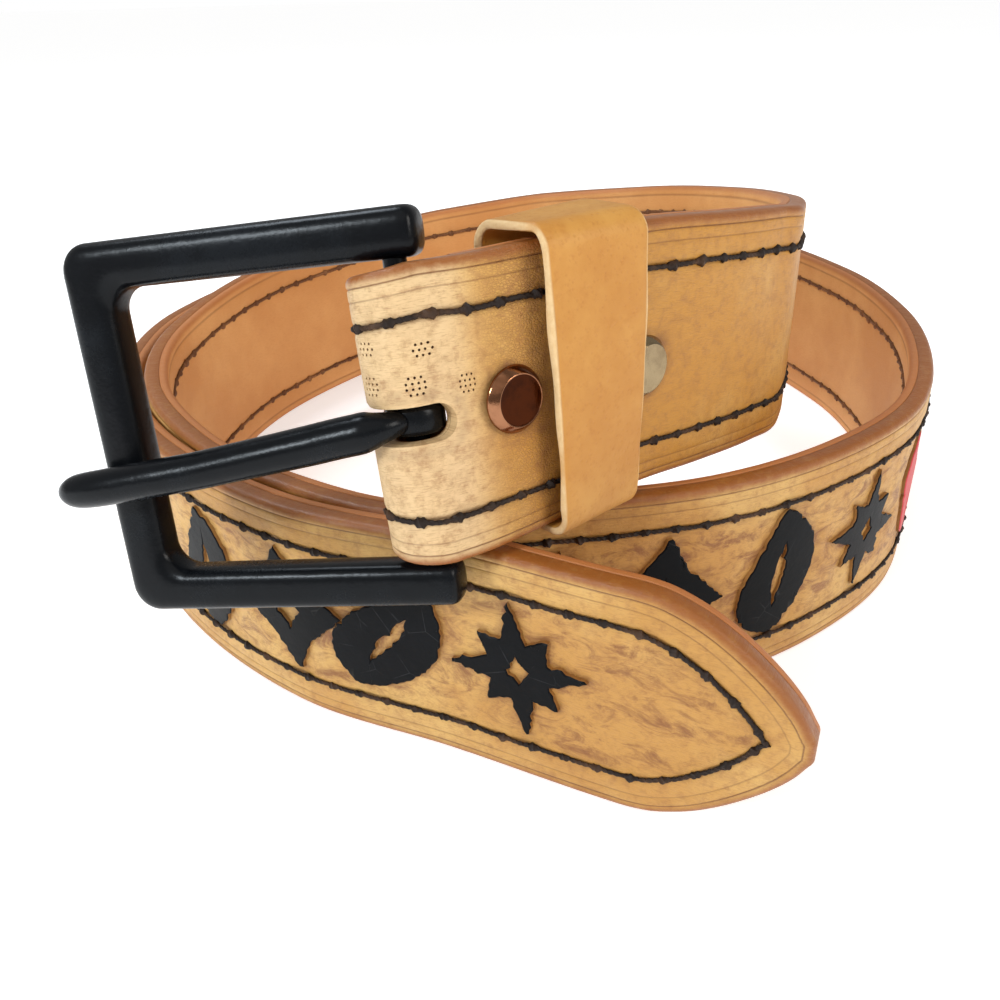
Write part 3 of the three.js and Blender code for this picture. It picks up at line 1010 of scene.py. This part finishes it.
rivet = dict(
    radius=4.45,
    seat=-0.12,
    rise=1.5,
    bevel=1.0,
    dish=0.08,
    post=1.5,
    back=3.6,
    backSeat=-8.3,
    backRise=0.8,
    steps=64,
)
rivets = [
    dict(name="rivet_cap_1", node="rivet_1", slot="bronze_rivet", along=11.4, up=19.4),
    dict(name="rivet_cap_2", node="rivet_2", slot="nickel_rivet", along=32.4, up=18.2),
]


def spun(profile, steps):
    # a profile of (out, along the axis) turned round the Z axis
    form = bmesh.new()
    verts = [form.verts.new((out, 0, along)) for out, along in profile]
    geom = verts + [form.edges.new(pair) for pair in zip(verts, verts[1:])]
    turn = 2 * math.pi
    bmesh.ops.spin(form, geom=geom, cent=(0, 0, 0), axis=(0, 0, 1), angle=turn, steps=steps, use_merge=True)
    bmesh.ops.remove_doubles(form, verts=form.verts, dist=1e-4)
    bmesh.ops.recalc_face_normals(form, faces=form.faces)
    return form


def seatedOn(along, up):
    # a matrix that stands a piece on the strap's grain face, its Z axis out of the leather
    point, ahead, inward, rise = (rows[0] for rows in framesAt(np.array([float(along)])))
    turn = Matrix([(ahead[i], rise[i], -inward[i]) for i in range(3)]).to_4x4()
    return Matrix.Translation(point + rise * up) @ turn


def rivetPiece(spec, metal, centre):
    look = rivet
    radius, post, back, seat, behind = (look[name] for name in ("radius", "post", "back", "seat", "backSeat"))
    crown, inner, end = seat + look["rise"], radius - look["bevel"], behind - look["backRise"]
    dished = crown - look["dish"]
    profile = [
        (0, dished), (inner - 0.5, dished + 0.02), (inner - 0.12, crown - 0.03), (inner, crown),
        (inner + 0.1, crown - 0.04), (radius - 0.14, seat + 0.52), (radius - 0.02, seat + 0.36),
        (radius, seat + 0.22), (radius - 0.05, seat), (post, seat), (post, behind), (back, behind),
        (back, behind - 0.3), (back - 0.5, end), (0, end),
    ]
    form = spun(profile, look["steps"])
    for face in form.faces:
        place = face.calc_center_median()
        # painted shade: the dished face takes a darker copy of the bronze than the lit bevel
        face.material_index = int(place.z > 0 and place.xy.length < inner - 0.1)
    form.transform(Matrix.Diagonal((mm, mm, mm, 1)) @ seatedOn(spec["along"], spec["up"]))
    piece = pieceFrom(form, spec["name"], metal, centre)
    smoothed(piece.data, 32)
    finished(piece, "strap", spec["slot"], spec["node"])


# The buckle, in its own directions: the heel bar is its Z axis, and the frame reaches towards -X

buckle = dict(
    reach=45,
    knuckle=3.8,
    height=51.1,
    bar=6.2,
    jamb=6.5,
    depth=6,
    squareness=3.1,
    round=2.2,
    roundSteps=8,
    corner=3.6,
    window=3.5,
    cornerSteps=12,
    barSteps=14,
    sides=56,
    least=0.02,  # how small a rounded end gets at its very end
    turns=(-13.4, -4.5, -12.9),
    heel=1.5,
    heelSides=32,
    heelAt=19,
)


def buckleMatrix():
    centre = Vector(placed([[0, buckle["heelAt"], -strap["foldRadius"]]])[0])
    turn = Matrix.Identity(4)
    for degrees, axis in zip(buckle["turns"], "XYZ"):
        turn = turn @ Matrix.Rotation(math.radians(degrees), 4, axis)
    return Matrix.Translation(centre) @ turn @ Matrix.Diagonal((mm, mm, mm, 1))


def coated(forms, name, coating, body, node):
    # a cast piece, put in its place
    form = gathered(forms)
    form.transform(buckleMatrix())
    piece = pieceFrom(form, name, coating)
    smoothed(piece.data, 45)
    finished(piece, body, "black_coating", node)


def squared(value):
    # a sine or cosine pressed towards 1, which makes a circle a rounded square
    return np.sign(value) * np.abs(value) ** (2 / buckle["squareness"])


def frameChains():
    # the frame's outer and inner edges, step for step, from its upper right end round to its lower one,
    # and how far each step is turned into the rounding of an end
    look = buckle
    turned = np.linspace(math.pi / 2, 0, look["roundSteps"] + 1)
    rounding = look["knuckle"] - look["round"] * (1 - squared(np.sin(turned)))
    corner = np.radians(np.linspace(90, 180, look["cornerSteps"]))
    outer = (look["height"] / 2, -look["reach"], look["corner"])
    inner = (outer[0] - look["bar"], outer[1] + look["jamb"], look["window"])
    chains = []
    for top, side, radius in (outer, inner):
        start = np.stack([rounding, np.full(len(turned), top)], 1)
        bar = np.linspace(start[-1], (side + radius, top), look["barSteps"])[1:-1]
        bend = np.stack([side + radius + radius * np.cos(corner), top - radius + radius * np.sin(corner)], 1)
        down = np.linspace((side, top - radius), (side, 0), look["barSteps"] // 2 + 1)[1:-1]
        upper = np.vstack([start, bar, bend, down])
        chains.append(np.vstack([upper, [(side, 0)], (upper * [1, -1])[::-1]]))
    ends = np.concatenate([turned, np.zeros(len(chains[0]) - 2 * len(turned)), turned[::-1]])
    return *chains, ends


def buckleFrame(coating):
    look = buckle
    outer, inside, ends = frameChains()
    middle, across = (outer + inside) / 2, inside - outer
    half = np.linalg.norm(across, axis=1) / 2
    around = circle(look["sides"])

    def shape(column, row):
        size = np.maximum(squared(np.cos(ends[column])), look["least"])
        off = size * half[column] * squared(np.cos(around[row]))
        depth = size * look["depth"] / 2 * squared(np.sin(around[row]))
        spots = middle[column] + unit(across)[column] * off[:, None]
        return np.stack([spots[:, 0], depth, spots[:, 1]], 1)

    heel = bmesh.new()
    radius, long = look["heel"], look["height"] - look["bar"]
    bmesh.ops.create_cone(
        heel, cap_ends=True, segments=look["heelSides"], radius1=radius, radius2=radius, depth=long,
    )
    frame = wrapped(len(outer), len(around), shape)
    coated([frame, heel], "buckle_bow", coating, "buckle", "buckle_frame")


prong = dict(
    rows=[  # reach along the buckle, rise up the heel bar, front towards the viewer, and half the thickness
        (0.9, -0.2, 3.2, 1.5), (1.9, -0.3, 4.4, 1.75), (3.1, -0.45, 5.05, 2.05), (4.2, -0.65, 5.25, 2.4),
        (4.9, -0.75, 5.3, 2.56), (5.8, -0.95, 5.3, 2.6), (7.6, -1.2, 5.3, 2.6), (9.5, -1.5, 5.3, 2.6),
        (12.5, -2, 5.3, 2.6), (18.6, -2.9, 5.5, 2.55), (28.4, -4.3, 5.8, 2.5), (35, -5, 6.1, 2.5),
        (42.1, -5.8, 6.1, 2.5), (46.7, -6.3, 5.7, 2.35), (48.8, -6.5, 5.4, 1.7), (49.6, -6.6, 5.2, 0.8),
    ],
    columns=120,
    crowding=1.5,  # how much closer the columns are at the point
    sides=28,
    seam=0.09,
    seamAngle=65,
    seamHalf=9,
    seamAt=24,
    seamReach=20,
    ring=dict(inner=2.1, outer=3.9, height=3.8, drop=0.25, lip=0.3, round=0.7, steps=48),
)


def prongShaft(look):
    rows = np.array(look["rows"])
    steps = lengths(rows[:, :3])
    at = steps[-1] * (1 - (1 - np.linspace(0, 1, look["columns"])) ** look["crowding"])
    line, slope = throughPoints(rows, np.interp(at, steps, np.linspace(0, 1, len(rows))))
    middle = line[:, [0, 2, 1]] * [-1, -1, 1]
    ahead = unit(slope[:, [0, 2, 1]] * [-1, -1, 1])
    up = unit(np.array([0, 0, 1]) - ahead * ahead[:, 2:])
    side = np.cross(ahead, up)
    around = circle(look["sides"])

    def shape(column, row):
        angle = around[row]
        off = (np.degrees(angle) - look["seamAngle"]) / look["seamHalf"]
        seamed = np.abs(line[column, 0] - look["seamAt"]) < look["seamReach"]
        radius = line[column, 3] + look["seam"] * np.exp(-(off ** 2)) * seamed
        spots = middle[column] + up[column] * (radius * np.cos(angle))[:, None]
        return spots + side[column] * (radius * np.sin(angle))[:, None]

    return wrapped(look["columns"], look["sides"], shape)


def prongRing(look):
    inner, outer, lip, cut = look["inner"], look["outer"], look["lip"], look["round"]
    half, bend = look["height"] / 2, 0.3 * cut
    lower = [(inner, lip - half), (inner + lip, -half), (outer - cut, -half), (outer - bend, bend - half)]
    lower.append((outer, cut - half))
    form = spun(lower + [(out, -along) for out, along in reversed(lower)] + lower[:1], look["steps"])
    form.transform(Matrix.Translation((0, 0, -look["drop"])))
    return form


def prongPiece(coating):
    coated([prongShaft(prong), prongRing(prong["ring"])], "prong_arm", coating, "tongue", "prong")


# Finishes: a noise is given by its scale, detail and roughness, and a blend by where it starts and ends


def leather(look):
    # what every leather starts from, with patches of two tones
    made, here = material(look["name"])
    clouds = here.noise(*look["clouds"])
    tone = clouds.tint(look["pale"], look["tan"], *look["cloudy"])
    return made, here, here.marked("edge"), clouds, here.noise(*look["speckle"]), tone


def tooledLeather(look):
    made, here, edge, clouds, speckle, tone = leather(look)
    flat = here.leatherMap()
    along = flat.node("SeparateXYZ", None, {0: flat})
    tone = (along.below(*look["creamTo"]) * look["creamShare"]).mix(tone, look["cream"])
    golden = along.below(*look["goldenTo"]) * along.above(*look["goldenFrom"])
    golden = golden * (1 - clouds.below(*look["goldenClouds"]) * 0.5)
    tone = (golden * look["goldenShare"]).mix(tone, look["golden"])
    crinkle = flat.stretched(*look["crinkleStretch"]).cells(look["crinkleScale"], "DISTANCE_TO_EDGE")
    crinkle = crinkle.below(0.0, look["crinkleWidth"]) * along.line(look["crinkleAt"], look["crinkleHalf"])
    tone = (crinkle * look["crinkleShare"]).mix(tone, look["brown"])
    tone = speckle.tint(tone, look["brown"], *look["speckled"])
    residue = flat.streaks(*look["streaks"])
    tone = residue.tint(tone, look["residue"], *look["streaked"], here.marked("ground") * 0.66 + 0.2)
    patchy = 0.55 + here.noise(*look["patches"]) * 0.9
    # crease lines: antique dye in the creases with painted shade in their grooves
    tone = (edge.lines(look["creases"]) * patchy).mix(tone, look["creaseDyeAndShade"])
    # stain and painted shade: the marked darkening round motifs, slot, rivets and keeper, and in the pits
    tone = (here.marked("stain_and_shade") * patchy * look["stainAndShadeShare"]).mix(tone, look["dark"])
    burnt = edge.below(*look["burnt"])
    tone = (burnt * (0.55 + speckle * 0.9)).mix(tone, look["burnish"])
    wrinkle = flat.streaks(*look["wrinkles"])
    tone = wrinkle.tint(tone, look["brown"], *look["wrinkled"])
    pores = here.cells(look["poreScale"]).below(0.0, look["poreEdge"])
    height = speckle * 0.5 + wrinkle * 0.5 - pores * 0.16 - crinkle * 0.35
    rough = look["roughness"] + (speckle - 0.5) * 0.22 - burnt * 0.1
    return surfaced(made, tone, rough, look["gloss"], {"Normal": height.bump(*look["bump"])})


tooledLook = dict(
    name="tooled leather",
    pale=colour(210, 166, 96),
    tan=colour(192, 140, 68),
    cream=colour(224, 192, 146),
    golden=colour(190, 130, 38),
    brown=colour(152, 100, 54),
    residue=colour(128, 76, 38),
    # dye and painted shade in the crease lines
    creaseDyeAndShade=colour(104, 62, 34),
    # the colour of the stain and painted shade
    dark=colour(96, 48, 24),
    burnish=colour(148, 86, 34),
    clouds=(34, 4, 0.6),
    cloudy=(0.38, 0.62),
    speckle=(620, 5, 0.7),
    speckled=(0.45, 0.72, 0.5),
    creamTo=(0.1, 1.0),  # in cm along the belt
    creamShare=0.8,
    goldenFrom=(0.3, 1.5),
    goldenTo=(9, 17),
    goldenClouds=(0.3, 0.55),
    goldenShare=0.8,
    crinkleStretch=((1.0, 1.7, 1.0), 38),
    crinkleScale=21,
    crinkleWidth=0.22,
    crinkleAt=1.4,
    crinkleHalf=1.1,
    crinkleShare=0.55,
    streaks=((1.0, 1.9, 1.0), 20, 1.5, 6, 0.72, 1.1),
    streaked=(0.45, 0.68),
    patches=(140, 3, 0.6),
    creases=[(1.5, 0.2, 0.75), (3.1, 0.2, 0.4), (6.25, 0.8, 0.55)],
    stainAndShadeShare=0.85,
    burnt=(0.3, 1.7),
    wrinkles=((3.0, 26.0, 1.0), 0, 2.4, 4, 0.6, 0.4),
    wrinkled=(0.5, 0.68, 0.4),
    poreScale=1500,
    poreEdge=0.35,
    roughness=0.5,
    gloss=0.42,
    bump=(0.00022, 0.8),
)


def liningLeather(look):
    made, here, edge, _, speckle, tone = leather(look)
    fibres = here.leatherMap().streaks(*look["fibres"])
    tone = fibres.tint(tone, look["brown"], *look["fibred"])
    patchy = 0.5 + here.noise(*look["patches"]) * 0.9
    # crease lines: dye in the creases with painted shade in their grooves
    tone = (edge.lines(look["creases"]) * patchy).mix(tone, look["creaseDyeAndShade"])
    burnt = edge.below(*look["burnt"])
    tone = (burnt * (0.7 + speckle * 0.3)).mix(tone, look["burnish"])
    height = speckle * 0.5 + fibres * 0.5
    rough = look["roughness"] + (speckle - 0.5) * 0.2 - burnt * 0.1
    return surfaced(made, tone, rough, look["gloss"], {"Normal": height.bump(*look["bump"])})


liningLook = dict(
    name="lining leather",
    pale=colour(214, 158, 96),
    tan=colour(198, 138, 78),
    brown=colour(178, 112, 58),
    # dye and painted shade in the crease lines
    creaseDyeAndShade=colour(128, 78, 42),
    burnish=colour(178, 108, 58),
    clouds=(28, 4, 0.6),
    cloudy=(0.35, 0.65),
    speckle=(700, 5, 0.7),
    fibres=((1.0, 5.0, 1.0), 0, 9, 5, 0.7, 0.5),
    fibred=(0.45, 0.7, 0.3),
    patches=(120, 3, 0.6),
    creases=[(1.95, 0.45, 0.5), (6.25, 0.75, 0.6)],
    burnt=(0.2, 1.3),
    roughness=0.6,
    gloss=0.35,
    bump=(0.0002, 0.7),
)


def keeperLeather(look):
    made, here, edge, _, speckle, tone = leather(look)
    pores = here.cells(look["poreScale"]).below(0.0, look["poreEdge"])
    tone = speckle.tint(tone, look["brown"], *look["speckled"])
    tone = (pores * look["poreShare"]).mix(tone, look["brown"])
    cut = edge.below(*look["cut"])
    tone = (cut * (0.4 + speckle)).mix(tone, look["fuzz"])
    height = speckle * 0.5 - pores * 0.25 + here.noise(*look["fibres"]) * cut * 1.4
    rough = look["roughness"] + cut * 0.3 + (speckle - 0.5) * 0.2
    return surfaced(made, tone, rough, look["gloss"], {"Normal": height.bump(*look["bump"])})


keeperLook = dict(
    name="keeper leather",
    pale=colour(204, 148, 70),
    tan=colour(188, 127, 51),
    brown=colour(172, 106, 40),
    fuzz=colour(226, 192, 142),
    clouds=(60, 4, 0.6),
    cloudy=(0.35, 0.65),
    speckle=(800, 5, 0.65),
    speckled=(0.5, 0.75, 0.4),
    poreScale=1300,
    poreEdge=0.4,
    poreShare=0.22,
    cut=(0.12, 0.42),
    fibres=(1900, 4, 0.7),
    roughness=0.5,
    gloss=0.4,
    bump=(0.0002, 0.8),
)


def paint(look):
    made, here = material(look["name"])
    film = here.noise(120, 4, 0.6)
    dust = here.noise(1400, 4, 0.7)
    scratches = here.stretched((1.0, 0.2, 1.0), 30).cells(170, "DISTANCE_TO_EDGE").below(0.0, 0.012)
    scratches = scratches * (1 - film.below(0.5, 0.62))
    tone = film.tint(look["shade"], look["worn"], 0.35, 0.7, 0.35)
    tone = (scratches * 0.14).mix(tone, colour(120, 120, 120))
    rough = look["roughness"] + (film - 0.5) * 0.2 + scratches * 0.2
    return surfaced(made, tone, rough, 0.08, {"Normal": (film * 0.8 + dust * 0.12).bump(0.0003, 0.6)})


blackLook = dict(name="black paint", shade=colour(9, 10, 12), worn=colour(17, 19, 23), roughness=0.4)
redLook = dict(name="red paint", shade=colour(196, 62, 66), worn=colour(214, 104, 104), roughness=0.42)


def threadFinish(look):
    made, here = material(look["name"])
    fibre = here.noise(2600, 3, 0.7)
    tone = here.noise(160, 3, 0.6).tint(look["dark"], look["brown"], 0.45, 0.7)
    return surfaced(made, tone, 0.42 + fibre * 0.25, 0.26, {"Normal": fibre.bump(0.00012, 0.8)})


threadLook = dict(name="waxed thread", dark=colour(34, 22, 15), brown=colour(74, 50, 32))
backThreadLook = dict(name="brown thread", dark=colour(104, 66, 38), brown=colour(136, 92, 56))


def powderCoat(look):
    made, here = material(look["name"])
    peel = here.noise(420, 3, 0.5)
    grit = here.noise(2200, 3, 0.6)
    worn = here.noise(70, 4, 0.6)
    tone = worn.tint(look["dark"], look["lighter"], 0.45, 0.7)
    rough = look["roughness"] + (worn - 0.5) * 0.14 + (grit - 0.5) * 0.08
    height = peel * 0.7 + grit * 0.2
    return surfaced(made, tone, rough, look["gloss"], {"Normal": height.bump(0.00018, 0.45)})


coatLook = dict(
    name="black coating",
    dark=colour(9, 11, 14),
    lighter=colour(16, 19, 23),
    roughness=0.26,
    gloss=0.15,
)


def metalFinish(look):
    made, here = material(look["name"])
    smear = here.noise(300, 4, 0.6)
    tone = smear.tint(look["face"], look["rim"], 0.4, 0.7)
    rough = look["roughness"] + (smear - 0.5) * 0.16
    brushed = here.noise(1600, 4, 0.7).bump(0.00006, 0.4)
    return surfaced(made, tone, rough, 0.5, {"Metallic": 1.0, "Normal": brushed})


bronzeLook = dict(name="bronze", face=colour(156, 108, 78), rim=colour(116, 76, 52), roughness=0.14)
# a darker copy of the bronze for the cap's dished face, painted shade
shadedBronzeLook = dict(name="shaded bronze", face=colour(62, 28, 12), rim=colour(48, 22, 11), roughness=0.16)
nickelLook = dict(name="nickel", face=colour(152, 132, 100), rim=colour(130, 110, 82), roughness=0.2)


# Floor and light

studio = dict(
    floorSize=60.0,
    floor=colour(252, 252, 252),
    floorGlow=0.5,
    world=colour(255, 255, 255),
    worldStrength=0.42,  # for everything but the camera, which sees plain white
    sun=dict(place=(-0.1, -0.85, 1.15), strength=0.4, spread=60, shade=(1.0, 0.985, 0.96)),
    lamps=[  # name, place, aim, size, watts and shade
        ("above", (-0.4, 0.28, 0.85), (0, -0.03, 0.05), 0.3, 3.2, (0.8, 0.9, 1.0)),
        ("left", (-0.74, -0.68, 0.62), (0, -0.05, 0.03), 0.17, 6.2, (0.84, 0.93, 1.0)),
        ("right", (0.75, -0.5, 0.5), (0, -0.05, 0.03), 0.35, 3.4, (1.0, 0.97, 0.92)),
    ],
)


def floorFinish(look):
    made, here = material("floor")
    shade = look["floor"]
    tone = here.noise(3, 2, 0.5).mix(shade, tuple(c * 0.985 for c in shade[:3]) + (1.0,))
    glow = {"Emission Color": shade, "Emission Strength": look["floorGlow"]}
    return surfaced(made, tone, 0.9, 0.1, glow)


def aimLight(data, place, aim):
    light = bpy.data.objects.new(data.name, data)
    ahead = Vector(aim) - Vector(place)
    light.matrix_world = Matrix.Translation(place) @ ahead.to_track_quat("-Z", "Y").to_matrix().to_4x4()
    bpy.context.scene.collection.objects.link(light)


def addStudio(look):
    form = bmesh.new()
    bmesh.ops.create_grid(form, x_segments=1, y_segments=1, size=look["floorSize"] / 2)
    floor = pieceFrom(form, "floor", floorFinish(look))
    floor.data.transform(Matrix.Translation((0, 0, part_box("strap_outer")[0].z)))
    world = bpy.data.worlds.new("studio")
    world.use_nodes = True
    backdrop = world.node_tree.nodes["Background"]
    backdrop.inputs["Color"].default_value = look["world"]
    rays = world.node_tree.nodes.new("ShaderNodeLightPath")
    level = world.node_tree.nodes.new("ShaderNodeMapRange")
    level.inputs["To Min"].default_value = look["worldStrength"]
    world.node_tree.links.new(rays.outputs["Is Camera Ray"], level.inputs["Value"])
    world.node_tree.links.new(level.outputs["Result"], backdrop.inputs["Strength"])
    bpy.context.scene.world = world
    sun = bpy.data.lights.new("sun", "SUN")
    sun.energy = look["sun"]["strength"]
    sun.angle = math.radians(look["sun"]["spread"])
    sun.color = look["sun"]["shade"]
    aimLight(sun, look["sun"]["place"], (0, 0, 0))
    for name, place, aim, size, watts, shade in look["lamps"]:
        lamp = bpy.data.lights.new(name, "AREA")
        lamp.size = size
        lamp.energy = watts
        lamp.color = shade
        aimLight(lamp, place, aim)


print("studio")
bpy.context.scene.view_settings.view_transform = "Standard"
addStudio(studio)

print("leather")
tooledMade = tooledLeather(tooledLook)
tooledStrap(tooledMade)
liningStrap(liningLeather(liningLook))
paintedPiece("black", "motifs_black", paint(blackLook), tooledMade)
paintedPiece("red", "motifs_red", paint(redLook), tooledMade)
stitches("stitches_front", -14, 1, threadFinish(threadLook))
stitches("stitches_back", 10, -1, threadFinish(backThreadLook))
keeperBand(keeperLeather(keeperLook))

print("metal")
coating = powderCoat(coatLook)
nickel = metalFinish(nickelLook)
rivetPiece(rivets[0], metalFinish(bronzeLook), metalFinish(shadedBronzeLook))
rivetPiece(rivets[1], nickel, nickel)
buckleFrame(coating)
prongPiece(coating)
